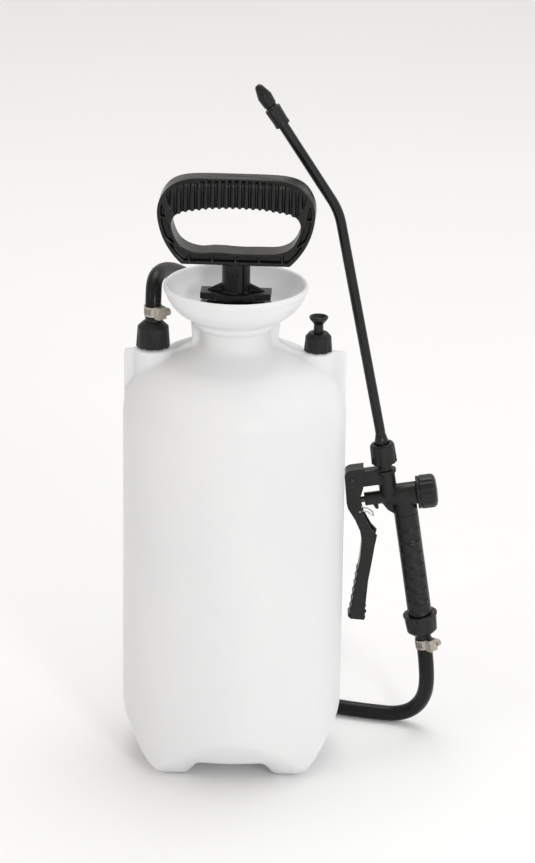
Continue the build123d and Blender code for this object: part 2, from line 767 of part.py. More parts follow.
def clamp_screw():
    thread = Pos(10.6, 0, 0) * Rot(90, 0, 0) * Cylinder(2.1, 8.4)
    head = Pos(10.6, -6.2, 0) * Rot(90, 0, 0) * Cylinder(3.2, 4.0)
    return thread + head - slab(9.9, 11.3, -9, -7.4, -4, 4)


# Each clamp's screw lies to the right of its hose, with the head away from the front.
CLAMP_TURN = Rot(0, 0, -50) * Rot(180, 0, 0)
UPPER_CLAMP = Pos(OUTLET_X, 0, 402.0) * CLAMP_TURN
LOWER_CLAMP = GUN * Pos(0, 0, -141.2) * CLAMP_TURN


NODES = {
    "tank_base": make_tank_base,
    "tank_wall": make_tank_wall,
    "tank_shoulder": make_tank_shoulder,
    "tank_dome": make_tank_dome,
    "tank_funnel": make_tank_funnel,
    "outlet_shoulder": make_outlet_shoulder,
    "relief_shoulder": make_relief_shoulder,
    "pump_lid": make_pump_lid,
    "lid_seal": make_lid_seal,
    "rod_wiper": make_rod_wiper,
    "pump_cylinder": make_pump_cylinder,
    "cylinder_foot": make_cylinder_foot,
    "check_disc": make_check_disc,
    "pump_rod": make_pump_rod,
    "piston": make_piston,
    "piston_cup": make_piston_cup,
    "piston_screw": make_piston_screw,
    "handle_grip": make_handle_grip,
    "handle_rivet": make_handle_rivet,
    "outlet_nut": make_outlet_nut,
    "outlet_seal": make_outlet_seal,
    "outlet_barb": make_outlet_barb,
    "dip_tube": make_dip_tube,
    "dip_strainer": make_dip_strainer,
    "relief_nut": make_relief_nut,
    "relief_knob": make_relief_knob,
    "relief_piston": make_relief_piston,
    "relief_seal": make_relief_seal,
    "relief_spring": make_relief_spring,
    "gun_body": make_gun_body,
    "lever": make_lever,
    "lever_pin": make_lever_pin,
    "lock_wire": make_lock_wire,
    "valve_stem": make_valve_stem,
    "valve_washer": make_valve_washer,
    "stem_seal": make_stem_seal,
    "gland_ring": make_gland_ring,
    "valve_spring": make_valve_spring,
    "valve_cap": make_valve_cap,
    "cap_seal": make_cap_seal,
    "grip": make_grip,
    "gun_filter": make_gun_filter,
    "grip_nut": make_grip_nut,
    "grip_gasket": make_grip_gasket,
    "gun_barb": make_gun_barb,
    "lance_nut": make_lance_nut,
    "lance_seal": make_lance_seal,
    "lance_ferrule": make_lance_ferrule,
    "lance": make_lance,
    "nozzle_holder": make_nozzle_holder,
    "nozzle_core": make_nozzle_core,
    "nozzle_seal": make_nozzle_seal,
    "nozzle_gasket": make_nozzle_gasket,
    "nozzle_cap": make_nozzle_cap,
    "hose": make_hose,
    "upper_clamp_band": lambda: UPPER_CLAMP * clamp_band(),
    "upper_clamp_screw": lambda: UPPER_CLAMP * clamp_screw(),
    "lower_clamp_band": lambda: LOWER_CLAMP * clamp_band(),
    "lower_clamp_screw": lambda: LOWER_CLAMP * clamp_screw(),
}


def main():
    os.makedirs("parts", exist_ok=True)
    for name, make in NODES.items():
        export_step(make(), f"parts/{name}.step")


main()
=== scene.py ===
"""The looks of a hand-pumped pressure sprayer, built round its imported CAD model. Lengths are in metres."""

import json
import math

import bmesh
import bpy
from mathutils import Matrix, Vector


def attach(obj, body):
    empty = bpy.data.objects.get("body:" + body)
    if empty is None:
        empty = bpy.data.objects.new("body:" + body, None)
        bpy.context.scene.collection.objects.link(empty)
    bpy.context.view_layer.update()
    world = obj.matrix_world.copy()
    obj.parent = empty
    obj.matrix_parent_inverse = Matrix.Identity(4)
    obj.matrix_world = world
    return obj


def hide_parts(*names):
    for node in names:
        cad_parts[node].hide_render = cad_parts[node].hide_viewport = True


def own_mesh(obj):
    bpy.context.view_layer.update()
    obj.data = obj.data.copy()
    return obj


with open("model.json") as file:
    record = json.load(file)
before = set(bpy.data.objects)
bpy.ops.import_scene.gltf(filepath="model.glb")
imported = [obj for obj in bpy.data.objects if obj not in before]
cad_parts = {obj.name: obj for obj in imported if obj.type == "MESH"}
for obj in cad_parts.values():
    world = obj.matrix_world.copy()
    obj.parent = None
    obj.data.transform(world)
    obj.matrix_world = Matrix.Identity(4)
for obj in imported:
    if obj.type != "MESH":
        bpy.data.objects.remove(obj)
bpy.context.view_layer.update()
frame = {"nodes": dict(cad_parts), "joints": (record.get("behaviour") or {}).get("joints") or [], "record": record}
nodes = frame["nodes"]
joints = {joint["name"]: joint for joint in frame["joints"]}

MM = 0.001


# ---------------------------------------------------------------- camera

VIEW_TILT = math.radians(20.0)      # downwards
VIEW_ROLL = math.radians(0.826)
VIEW_FROM = (0.02819, -2.92085, 1.3579)
LENS = 152.2
SENSOR_WIDTH = 36.0


def make_camera():
    """A long lens in front of the sprayer, looking down at it."""
    forward = Vector((0, math.cos(VIEW_TILT), -math.sin(VIEW_TILT)))
    level = Vector((1, 0, 0))
    upright = level.cross(forward)
    right = level * math.cos(VIEW_ROLL) + upright * math.sin(VIEW_ROLL)
    top = upright * math.cos(VIEW_ROLL) - level * math.sin(VIEW_ROLL)
    data = bpy.data.cameras.new("camera")
    data.lens = LENS
    data.sensor_width = SENSOR_WIDTH
    camera = bpy.data.objects.new("camera", data)
    turn = Matrix((right, top, -forward)).transposed().to_4x4()
    camera.matrix_world = Matrix.Translation(VIEW_FROM) @ turn
    bpy.context.scene.collection.objects.link(camera)
    bpy.context.scene.camera = camera


# ---------------------------------------------------------------- mesh helpers


def new_object(name, mesh):
    piece = bpy.data.objects.new(name, mesh)
    bpy.context.scene.collection.objects.link(piece)
    return piece


def mesh_object(name, points, faces, smooth=True):
    mesh = bpy.data.meshes.new(name)
    mesh.from_pydata([tuple(p) for p in points], [], faces)
    mesh.update()
    if smooth:
        mesh.shade_smooth()
    return new_object(name, mesh)


def in_metres(points):
    """Points given in millimetres, in metres."""
    return [tuple(value * MM for value in point) for point in points]


def apply_modifiers(piece):
    """Bakes the modifiers into the mesh."""
    graph = bpy.context.evaluated_depsgraph_get()
    mesh = bpy.data.meshes.new_from_object(piece.evaluated_get(graph))
    piece.modifiers.clear()
    piece.data = mesh
    return piece


def join(piece, others):
    """Adds closed meshes to a piece, which soften() makes into one skin where they overlap."""
    work = bmesh.new()
    work.from_mesh(piece.data)
    for other in others:
        copy = other.data.copy()
        copy.transform(other.matrix_world)
        work.from_mesh(copy)
        bpy.data.objects.remove(other)
    work.to_mesh(piece.data)
    work.free()
    return piece


def cut(piece, cutter):
    """Takes the cutter's volume away from the piece."""
    step = piece.modifiers.new("cut", "BOOLEAN")
    step.operation = "DIFFERENCE"
    step.solver = "EXACT"
    step.use_self = True
    step.object = cutter
    apply_modifiers(piece)
    bpy.data.objects.remove(cutter)
    return piece


def soften(piece, voxel, rounds):
    """Turns overlapping closed meshes into one skin with rounded edges, as a mould leaves them."""
    step = piece.modifiers.new("skin", "REMESH")
    step.mode = "VOXEL"
    step.voxel_size = voxel
    step = piece.modifiers.new("round", "SMOOTH")
    step.factor = 0.5
    step.iterations = rounds
    apply_modifiers(piece)
    piece.data.shade_smooth()
    return piece


def copy_of(node, name):
    """A new object with a CAD node's shape, its vertices merged, to be worked on."""
    mesh = nodes[node].data.copy()
    mesh.materials.clear()
    work = bmesh.new()
    work.from_mesh(mesh)
    bmesh.ops.remove_doubles(work, verts=work.verts, dist=1e-6)
    work.to_mesh(mesh)
    work.free()
    return new_object(name, mesh)


def finish_piece(piece, coat, body, slot, *replaced):
    """Gives a piece its material, the body it rides on and the nodes that it stands for; the slot argument is not
    used.
    """
    piece.data.materials.clear()
    piece.data.materials.append(coat)
    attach(piece, body)
    if replaced:
        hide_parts(*replaced)
    return piece


def lathe(name, outline, steps=128, closed=True):
    """A surface of revolution about Z from (radius, height) points in metres."""
    points, faces = [], []
    n = len(outline)
    for k in range(steps):
        turn = 2 * math.pi * k / steps
        for r, z in outline:
            points.append((r * math.cos(turn), r * math.sin(turn), z))
    for k in range(steps):
        a, b = k * n, (k + 1) % steps * n
        for i in range(n if closed else n - 1):
            j = (i + 1) % n
            faces.append((a + i, b + i, b + j, a + j))
    piece = mesh_object(name, points, faces)
    work = bmesh.new()
    work.from_mesh(piece.data)
    bmesh.ops.remove_doubles(work, verts=work.verts, dist=1e-7)
    bmesh.ops.dissolve_degenerate(work, edges=work.edges, dist=1e-7)
    bmesh.ops.recalc_face_normals(work, faces=work.faces)
    work.to_mesh(piece.data)
    work.free()
    return piece


def flowing(points, steps=8):
    """A smooth line through points in a plane (Catmull-Rom)."""
    ends = [points[0]] + list(points) + [points[-1]]
    line = []
    for p0, p1, p2, p3 in zip(ends, ends[1:], ends[2:], ends[3:]):
        for k in range(steps):
            t = k / steps
            line.append(
                tuple(
                    0.5
                    * (
                        2 * b
                        + (c - a) * t
                        + (2 * a - 5 * b + 4 * c - d) * t * t
                        + (3 * b - a - 3 * c + d) * t**3
                    )
                    for a, b, c, d in zip(p0, p1, p2, p3)
                )
            )
    line.append(tuple(points[-1]))
    return line


def ease(share):
    """A soft step from 0 to 1."""
    share = min(max(share, 0.0), 1.0)
    return share * share * (3 - 2 * share)


def face_outwards(piece):
    work = bmesh.new()
    work.from_mesh(piece.data)
    bmesh.ops.recalc_face_normals(work, faces=work.faces)
    work.to_mesh(piece.data)
    work.free()
    return piece


def prism(name, outline, depth, y=0.0):
    """A closed slab from an outline of (x, z) points, with a thickness along Y about y."""
    n = len(outline)
    points = [(x, y + side * depth / 2, z) for side in (-1, 1) for x, z in outline]
    faces = [tuple(range(n)), tuple(reversed(range(n, 2 * n)))]
    for i in range(n):
        j = (i + 1) % n
        faces.append((i, i + n, j + n, j))
    return face_outwards(mesh_object(name, points, faces, smooth=False))


def loft(name, rings):
    """A closed skin through rings of equally many points in millimetres."""
    n = len(rings[0])
    points = [point for ring in rings for point in ring]
    faces = [tuple(reversed(range(n))), tuple(range((len(rings) - 1) * n, len(rings) * n))]
    for level in range(len(rings) - 1):
        a, b = level * n, (level + 1) * n
        faces += [(a + i, a + (i + 1) % n, b + (i + 1) % n, b + i) for i in range(n)]
    return face_outwards(mesh_object(name, in_metres(points), faces))


END_SHARES = (0.25, 0.55, 0.8, 0.97)     # where a rod's rounded end has rings, as shares of its radius


def tube(name, path, radius, across, sides=16):
    """A round-ended rod along a path of points, all in millimetres; across is a direction off the path."""
    path = [Vector(point) for point in path]
    across = Vector(across)
    first, last = (path[1] - path[0]).normalized(), (path[-1] - path[-2]).normalized()
    stations = []
    for share in reversed(END_SHARES):
        stations.append((path[0] - first * radius * share, first, radius * math.sqrt(1 - share * share)))
    for k, point in enumerate(path):
        way = (path[min(k + 1, len(path) - 1)] - path[max(k - 1, 0)]).normalized()
        stations.append((point, way, radius))
    for share in END_SHARES:
        stations.append((path[-1] + last * radius * share, last, radius * math.sqrt(1 - share * share)))
    rings = []
    for point, way, size in stations:
        side = (across - way * across.dot(way)).normalized()
        up = way.cross(side)
        ring = []
        for k in range(sides):
            a = 2 * math.pi * k / sides
            ring.append(point + side * size * math.cos(a) + up * size * math.sin(a))
        rings.append(ring)
    return loft(name, rings)


# ---------------------------------------------------------------- materials


def material(name, colour, roughness, specular=0.5):
    """A new material and the parts of its node tree that the callers add to."""
    made = bpy.data.materials.new(name)
    made.use_nodes = True
    tree = made.node_tree
    shader = tree.nodes["Principled BSDF"]
    shader.inputs["Base Color"].default_value = (*colour, 1.0)
    shader.inputs["Roughness"].default_value = roughness
    shader.inputs["Specular IOR Level"].default_value = specular
    return made, tree, shader


def paint(tree, shader, socket, value):
    tree.links.new(value, shader.inputs[socket])


def noise(tree, scale, detail=4.0, rough=0.5, stretch=(1, 1, 1)):
    """Noise in the object's own space."""
    place = tree.nodes.new("ShaderNodeTexCoord")
    mapping = tree.nodes.new("ShaderNodeMapping")
    mapping.inputs["Scale"].default_value = stretch
    tree.links.new(place.outputs["Object"], mapping.inputs["Vector"])
    node = tree.nodes.new("ShaderNodeTexNoise")
    node.inputs["Scale"].default_value = scale
    node.inputs["Detail"].default_value = detail
    node.inputs["Roughness"].default_value = rough
    tree.links.new(mapping.outputs["Vector"], node.inputs["Vector"])
    return node.outputs["Fac"]


def ramp(tree, value, low, high, low_at=0.0, high_at=1.0):
    """Maps a value to a range, or to a blend of two colours."""
    if isinstance(low, tuple):
        node = tree.nodes.new("ShaderNodeValToRGB")
        node.color_ramp.elements[0].position = low_at
        node.color_ramp.elements[0].color = (*low, 1.0)
        node.color_ramp.elements[1].position = high_at
        node.color_ramp.elements[1].color = (*high, 1.0)
        tree.links.new(value, node.inputs["Fac"])
        return node.outputs["Color"]
    node = tree.nodes.new("ShaderNodeMapRange")
    for key, number in (("From Min", low_at), ("From Max", high_at), ("To Min", low), ("To Max", high)):
        node.inputs[key].default_value = number
    tree.links.new(value, node.inputs["Value"])
    return node.outputs["Result"]


def bump(tree, shader, heights, distance=0.0002):
    """Stacks bumps from (value, strength) pairs; distance is their depth in metres."""
    normal = None
    for value, strength in heights:
        node = tree.nodes.new("ShaderNodeBump")
        node.inputs["Strength"].default_value = strength
        node.inputs["Distance"].default_value = distance
        tree.links.new(value, node.inputs["Height"])
        if normal is not None:
            tree.links.new(normal, node.inputs["Normal"])
        normal = node.outputs["Normal"]
    tree.links.new(normal, shader.inputs["Normal"])


def white_plastic():
    """Blow-moulded plastic: slightly see-through, with a cloudy tone and a faint unevenness."""
    made, tree, shader = material("tank_plastic", (0.80, 0.80, 0.81), 0.45, 0.3)
    shader.inputs["Subsurface Weight"].default_value = 0.35
    shader.inputs["Subsurface Radius"].default_value = (0.006, 0.006, 0.007)
    shader.inputs["Subsurface Scale"].default_value = 1.0
    cloud = noise(tree, 14.0, 3.0, 0.5, (1, 1, 0.45))
    waves = noise(tree, 9.0, 2.0, 0.4, (1, 1, 0.5))
    grain = noise(tree, 900.0, 2.0, 0.6)
    paint(tree, shader, "Base Color", ramp(tree, cloud, (0.785, 0.788, 0.80), (0.82, 0.82, 0.825), 0.3, 0.7))
    paint(tree, shader, "Roughness", ramp(tree, noise(tree, 60.0), 0.36, 0.5, 0.3, 0.7))
    bump(tree, shader, [(waves, 0.5), (grain, 0.12)], 0.0006)
    return made


def black_plastic(name, colour=(0.0045, 0.0044, 0.0042), roughness=0.32, grain_strength=0.2):
    """Moulded plastic with worn, lighter spots, a changing gloss and a fine grain."""
    made, tree, shader = material(name, colour, roughness, 0.36)
    lighter = tuple(c * 1.7 + 0.002 for c in colour)
    wear = noise(tree, 130.0, 5.0, 0.6)
    gloss = noise(tree, 45.0, 4.0)
    grain = noise(tree, 1400.0, 3.0, 0.6)
    paint(tree, shader, "Base Color", ramp(tree, wear, colour, lighter, 0.35, 0.8))
    paint(tree, shader, "Roughness", ramp(tree, gloss, roughness - 0.07, roughness + 0.12, 0.3, 0.7))
    bump(tree, shader, [(grain, grain_strength), (noise(tree, 90.0, 3.0), 0.2)], 0.0001)
    return made


def hose_rubber():
    made, tree, shader = material("hose_rubber", (0.006, 0.006, 0.006), 0.34, 0.22)
    streak = noise(tree, 60.0, 4.0, 0.5)
    gloss = noise(tree, 25.0, 3.0)
    grain = noise(tree, 700.0, 2.0, 0.5)
    tone = ramp(tree, streak, (0.004, 0.004, 0.004), (0.009, 0.009, 0.009), 0.3, 0.75)
    paint(tree, shader, "Base Color", tone)
    paint(tree, shader, "Roughness", ramp(tree, gloss, 0.24, 0.42, 0.3, 0.7))
    bump(tree, shader, [(grain, 0.15), (noise(tree, 40.0, 2.0), 0.2)], 0.0002)
    return made


def steel(name, tint, roughness):
    """Bare metal with darker spots and a brushed grain."""
    made, tree, shader = material(name, tint, roughness)
    shader.inputs["Metallic"].default_value = 1.0
    darker = tuple(c * 0.72 for c in tint)
    spots = noise(tree, 220.0, 5.0, 0.6)
    gloss = noise(tree, 500.0, 4.0)
    brushed = noise(tree, 1200.0, 3.0, 0.5, (1, 1, 0.1))
    paint(tree, shader, "Base Color", ramp(tree, spots, darker, tint, 0.3, 0.62))
    paint(tree, shader, "Roughness", ramp(tree, gloss, roughness - 0.08, roughness + 0.15, 0.3, 0.7))
    bump(tree, shader, [(brushed, 0.12)], 0.00005)
    return made


def rubber():
    made, tree, shader = material("seal_rubber", (0.012, 0.012, 0.012), 0.6)
    paint(tree, shader, "Roughness", ramp(tree, noise(tree, 300.0), 0.5, 0.75, 0.3, 0.7))
    bump(tree, shader, [(noise(tree, 900.0), 0.2)], 0.0001)
    return made


def inner_plastic():
    """The undyed plastic of the parts inside."""
    made, tree, shader = material("inner_plastic", (0.72, 0.72, 0.70), 0.4)
    tone = ramp(tree, noise(tree, 40.0), (0.68, 0.68, 0.66), (0.75, 0.75, 0.73), 0.3, 0.7)
    paint(tree, shader, "Base Color", tone)
    bump(tree, shader, [(noise(tree, 800.0), 0.15)], 0.0001)
    return made


WHITE = white_plastic()
BLACK = black_plastic("moulded_black")
HANDLE_BLACK = black_plastic("handle_black", (0.004, 0.0039, 0.0037), 0.26, 0.12)
LANCE_BLACK = black_plastic("lance_black", (0.004, 0.004, 0.004), 0.26, 0.1)
HOSE = hose_rubber()
STEEL = steel("clamp_steel", (0.5, 0.46, 0.4), 0.3)
WIRE = steel("wire_steel", (0.75, 0.74, 0.72), 0.18)
BRASS = steel("stem_brass", (0.13, 0.115, 0.09), 0.35)
PIN = steel("pin_steel", (0.055, 0.055, 0.055), 0.35)
RUBBER_AND_SHADE = rubber()
INNER = inner_plastic()

BY_SLOT = {
    "tank_white": WHITE,
    "black_plastic": BLACK,
    "handle_black": HANDLE_BLACK,
    "lever_black": BLACK,
    "grip_black": BLACK,
    "lance_black": LANCE_BLACK,
    "hose_black": HOSE,
    "clamp_steel": STEEL,
    "wire_steel": WIRE,
    "seal_rubber": RUBBER_AND_SHADE,
    "inner_plastic": INNER,
    "stem_brass": BRASS,
    "pin_steel": PIN,
}
NODE_SLOT = {part["node"]: part["material_slot"] for part in frame["record"]["subparts"]}


def paint_nodes():
    """Every CAD node gets its slot's material, whether or not a finer piece stands for it."""
    for name, node in nodes.items():
        made = BY_SLOT[NODE_SLOT[name]]
        if not node.material_slots:
            node.data.materials.append(made)
        for place in node.material_slots:
            place.material = made


# ---------------------------------------------------------------- hose

HOSE_DIAMETER = 13.6 * MM
OUTLET_X = -69.5         # the two bosses on the tank's shoulder
RELIEF_X = 70.0
HOSE_START = (OUTLET_X, 0.0, 396.0)
HOSE_ROUTE = [
    HOSE_START,
    (-69.5, 0, 413),
    (-69.0, 14, 426),
    (-63, 36, 426.5),
    (-53, 61, 418.5),
    (-37, 86, 402),
    (-20, 104, 362),
    (-15, 111, 300),
    (-26, 113, 225),
    (-44, 115, 150),
    (-42, 118, 88),
    (-18, 124, 40),
    (14, 130, 15),
    (60, 142, 6.8),
    (88, 196, 6.8),
    (71, 257, 6.8),
    (16, 288, 6.8),
    (-45, 271, 6.8),
    (-76, 216, 6.8),
    (-59, 155, 6.8),
    (-7, 122, 6.8),
    (46, 92, 6.8),
    (92, 73, 6.8),
    (124, 63, 6.8),
    (153, 56.5, 7.2),
    (170.5, 45, 26),
]
GUN_X, GUN_Y, GUN_Z = 146.9, 34.0, 226.6      # where the grip's axis and the valve's cross
GUN_LEAN = math.radians(8.8)
HOSE_TURN_W = -170.0     # where the hose comes in line with the grip
HOSE_END_W = -136.0


def gun_point(u, w):
    """A point in the gun's own frame (u along the valve, w up the grip), in millimetres."""
    return (
        GUN_X + u * math.cos(GUN_LEAN) - w * math.sin(GUN_LEAN),
        GUN_Y,
        GUN_Z + u * math.sin(GUN_LEAN) + w * math.cos(GUN_LEAN),
    )


def make_hose():
    """The hose as one smooth curve from the outlet to the gun."""
    curve = bpy.data.curves.new("hose_line", "CURVE")
    curve.dimensions = "3D"
    curve.bevel_depth = HOSE_DIAMETER / 2
    curve.bevel_resolution = 8
    curve.resolution_u = 16
    curve.use_fill_caps = True
    spline = curve.splines.new("NURBS")
    route = HOSE_ROUTE + [gun_point(0, HOSE_TURN_W), gun_point(0, HOSE_END_W)]
    spline.points.add(len(route) - 1)
    for point, place in zip(spline.points, route):
        point.co = (*(value * MM for value in place), 1.0)
    spline.order_u = 3
    spline.use_endpoint_u = True
    piece = new_object("hose_tube", curve)
    finish_piece(piece, HOSE, "sprayer", "hose_black", "hose")


# ---------------------------------------------------------------- tank

TANK_R = 94.8
FLAT_FOOT = 63.3                 # how far the four slanted flats are from the axis, at the floor
FLAT_SLOPE = 23.0 / 31.6
FLAT_BLEND = 1.6
ARCH_Z = 16.5                    # the height of the hollows between the feet
ARCH_HALF_TOP = 28.0
ARCH_HALF_FOOT = 45.0
ARCH_BLEND = 1.0
DOME = [
    (TANK_R, 300.0), (TANK_R, 314.0), (92.4, 330.0), (83.0, 347.0), (66.0, 360.5), (48.0, 367.8),
    (36.5, 371.6), (31.2, 375.6), (30.0, 382.0), (30.0, 394.0),
]
AROUND = 224                     # points in each ring of the skin
FLOOR_SHARES = (0.15, 0.3, 0.45, 0.6, 0.75, 0.88, 1.0)
EDGE_RINGS = 10
SIDE_RINGS = 40
SIDE_SPREAD = 1.15               # over 1, the side's rings lie closer together near the feet
WEB = [
    (50, 340), (80, 318), (90.5, 309), (93.6, 318), (94.0, 330), (94.0, 365.4), (93.2, 367.6), (91, 368.2),
    (58, 368.2), (50, 369.6), (42, 374.0), (36.5, 377.6), (28, 378), (28, 360),
]
WEB_DEPTH = 6.4
LUG = [(27, 365), (37.4, 365), (36.4, 380), (37.9, 396.5), (27, 394)]
LUG_DEPTH = 9.0
BOSS_LOW_Z = 325.0
BOSS_EDGE = 1.2


def soft_least(a, b, blend):
    return -blend * math.log(math.exp(-a / blend) + math.exp(-b / blend))


def soft_most(a, b, blend):
    return blend * math.log(math.exp(a / blend) + math.exp(b / blend))


def body_radius(turn, z):
    """The round side with its four slanted flats blended in."""
    radius = TANK_R
    for quarter in range(4):
        across = math.cos(turn - quarter * math.pi / 2)
        if across > 0.2:
            flat = (FLAT_FOOT + FLAT_SLOPE * max(z, 0.0)) / across
            radius = soft_least(radius, flat, FLAT_BLEND)
    return radius


def floor_height(x, y):
    """The underside: two crossing hollows between four feet."""

    def hollow(s):
        return ARCH_Z * (1 - ease((abs(s) - ARCH_HALF_TOP) / (ARCH_HALF_FOOT - ARCH_HALF_TOP)))

    return soft_most(hollow(x), hollow(y), ARCH_BLEND) - soft_most(0.0, 0.0, ARCH_BLEND)


def floor_edge():
    """For every direction its angle, the height where side and underside meet, and the edge's rounding."""
    edge = []
    for k in range(AROUND):
        turn = 2 * math.pi * k / AROUND
        z = 8.0
        for _ in range(6):
            r = body_radius(turn, z)
            z = floor_height(r * math.cos(turn), r * math.sin(turn))
        corner = math.sin(2 * turn) ** 2
        edge.append((turn, z, 5.0 + 8.0 * corner, 6.0 + 13.0 * corner))
    return edge


def body_rings(edge):
    """The rings of the tank's skin: underside, rounded edge, side and dome."""
    rings = []
    for share in FLOOR_SHARES:
        ring = []
        for turn, z, in_r, _ in edge:
            r = (body_radius(turn, z) - in_r) * share
            x, y = r * math.cos(turn), r * math.sin(turn)
            ring.append((x, y, floor_height(x, y)))
        rings.append(ring)
    for k in range(1, EDGE_RINGS + 1):
        a = math.pi / 2 * k / EDGE_RINGS
        ring = []
        for turn, z, in_r, in_z in edge:
            height = z + in_z * (1 - math.cos(a))
            r = body_radius(turn, height) - in_r * (1 - math.sin(a))
            ring.append((r * math.cos(turn), r * math.sin(turn), height))
        rings.append(ring)
    for k in range(1, SIDE_RINGS + 1):
        share = (k / SIDE_RINGS) ** SIDE_SPREAD
        ring = []
        for turn, z, _, in_z in edge:
            height = z + in_z + (DOME[0][1] - z - in_z) * share
            r = body_radius(turn, height)
            ring.append((r * math.cos(turn), r * math.sin(turn), height))
        rings.append(ring)
    for r, z in flowing(DOME, 6)[1:]:
        rings.append([(r * math.cos(turn), r * math.sin(turn), z) for turn, *_ in edge])
    return rings


def body_skin(rings):
    """The rings joined up and closed with a fan at the bottom and at the top."""
    points = [(0.0, 0.0, floor_height(0, 0))]
    for ring in rings:
        points += ring
    points.append((0.0, 0.0, DOME[-1][1]))
    last = 1 + (len(rings) - 1) * AROUND
    faces = []
    for k in range(AROUND):
        j = (k + 1) % AROUND
        faces.append((0, 1 + j, 1 + k))
        for level in range(len(rings) - 1):
            a, b = 1 + level * AROUND, 1 + (level + 1) * AROUND
            faces.append((a + k, a + j, b + j, b + k))
        faces.append((last + k, last + j, len(points) - 1))
    return mesh_object("tank_body", in_metres(points), faces)


def shoulder_boss(x, r, top, neck_r, neck_top):
    """A round boss with the neck that its nut screws onto."""
    outline = [
        (0, BOSS_LOW_Z), (r, BOSS_LOW_Z), (r, top - BOSS_EDGE), (r - BOSS_EDGE, top),
        (neck_r, top), (neck_r, neck_top), (0, neck_top),
    ]
    boss = lathe("boss", in_metres(outline), 64, closed=False)
    boss.data.transform(Matrix.Translation((x * MM, 0, 0)))
    return boss


def make_tank_body():
    body = body_skin(body_rings(floor_edge()))
    extras = []
    for side in (-1, 1):
        for name, outline, depth in (("web", WEB, WEB_DEPTH), ("lug", LUG, LUG_DEPTH)):
            extras.append(prism(name, in_metres([(side * x, z) for x, z in outline]), depth * MM))
    extras.append(shoulder_boss(OUTLET_X, 16.0, 369.3, 10.2, 384.0))
    extras.append(shoulder_boss(RELIEF_X, 13.6, 367.8, 8.6, 378.0))
    join(body, extras)
    soften(body, 1.35 * MM, 7)
    finish_piece(
        body, WHITE, "sprayer", "tank_white",
        "tank_base", "tank_wall", "tank_shoulder", "tank_dome", "outlet_shoulder", "relief_shoulder",
    )


FUNNEL_BORE_R = 26.0
FUNNEL_LOW_Z = 389.0
FUNNEL_OUTSIDE = [
    (30.4, FUNNEL_LOW_Z), (33.6, 390.4), (35.6, 393.2), (35.9, 396.0), (37.6, 397.6), (41.0, 399.2),
    (48.0, 403.4), (54.0, 409.4), (57.6, 415.4), (59.0, 419.6), (59.3, 421.0),
]
FUNNEL_LIP = [
    (60.3, 421.4), (60.9, 422.6), (61.0, 424.6), (60.7, 426.0), (59.8, 426.9), (58.8, 427.0), (57.9, 426.4),
    (57.2, 425.0),
]
FUNNEL_INSIDE = [
    (57.2, 425.0), (56.2, 422.4), (53.6, 416.8), (49.2, 410.9), (43.4, 405.4), (36.0, 402.0), (32.0, 400.4),
    (FUNNEL_BORE_R, 400.0),
]


def make_funnel():
    """The filling funnel round the pump, with the bead where it grows out of the neck."""
    outline = flowing(FUNNEL_OUTSIDE, 5) + flowing(FUNNEL_LIP, 4) + flowing(FUNNEL_INSIDE, 5)[1:]
    outline.append((FUNNEL_BORE_R, FUNNEL_LOW_Z))
    funnel = lathe("tank_funnel", in_metres(outline), 192)
    finish_piece(funnel, WHITE, "sprayer", "tank_white", "tank_funnel")


# ---------------------------------------------------------------- handle

HANDLE_TURN = math.radians(-3.0)
HANDLE_HALF_DEPTH = 11.8
HANDLE_TOP_Z = 521.4
HANDLE_ROUNDING = 9.4
RECESS = 2.6                     # how deep the ribbed field lies under the grip's faces
CROWN = [(0, 518.8), (28, 517.8), (47, 514.6), (54, 511.0), (58.4, 506.0), (60, 500.0)]
OPENING_TOP = [(0, 495.4), (22, 494.6), (42, 491.6), (51.2, 488.6), (60, 488.6)]
FIELD_X = (0, 14, 28, 38, 47, 51, 54, 56.5)
FIELD_FOOT = [(58.4, 506.0), (54.6, 491.5), (48, 489.0)]
CORE_HALF_WIDTH = 59.0
CORE_TOP_Z = 518.7
CORE_STEPS = 48
CORE_SHARES = (0, 0.3, 0.6, 0.7, 0.78, 0.85, 0.91, 0.96, 1)
RIB_R = 1.95
RIB_PITCH = 5.63
RIBS = 20
RIB_STEPS = 12
RIB_SINK = 0.1                   # how far each rib stays behind the grip's faces
RIB_TOP_SINK = 1.3               # and how much farther at its top
SLEEVE_R = 8.65
# The sleeve's groove is not cut: a thin dark sheet of painted shade stands for it.
SLOT_HALF_WIDTH = 2.9
SLOT_Z = (421, 446)
SLOT_DEPTH = 0.3
SLOT_TURN = math.radians(20.0)   # off the front


def height_on(line, x):
    """The height of a line of (x, z) points at a distance from the middle."""
    x = abs(x)
    for (x0, z0), (x1, z1) in zip(line, line[1:]):
        if x <= x1:
            return z0 + (z1 - z0) * (x - x0) / (x1 - x0)
    return line[-1][1]


def grip_half_depth(z, inset=0.0):
    """Half the thickness of the grip at a height, its rounded top included."""
    rise = z - (HANDLE_TOP_Z - HANDLE_ROUNDING)
    radius = HANDLE_ROUNDING - inset
    if rise <= 0:
        return HANDLE_HALF_DEPTH - inset
    return HANDLE_HALF_DEPTH - HANDLE_ROUNDING + math.sqrt(max(radius**2 - rise**2, 0.0))


def ribbed_field():
    """The part of the plain grip that gives way to the ribs."""
    half = [(x, height_on(CROWN, x)) for x in FIELD_X] + FIELD_FOOT
    outline = [(-x, z) for x, z in reversed(half[1:])] + half
    return prism("field", in_metres(outline), 60 * MM)


def field_core():
    """The recessed core that the ribs stand on."""
    rings = []
    for k in range(CORE_STEPS + 1):
        x = -CORE_HALF_WIDTH + 2 * CORE_HALF_WIDTH * k / CORE_STEPS
        low, top = height_on(OPENING_TOP, x), min(height_on(CROWN, x) + 1.0, CORE_TOP_Z)
        heights = [low + (top - low) * share for share in CORE_SHARES]
        ring = [(x, -grip_half_depth(z, RECESS), z) for z in heights]
        ring += [(x, grip_half_depth(z, RECESS), z) for z in reversed(heights)]
        rings.append(ring)
    return loft("core", rings)


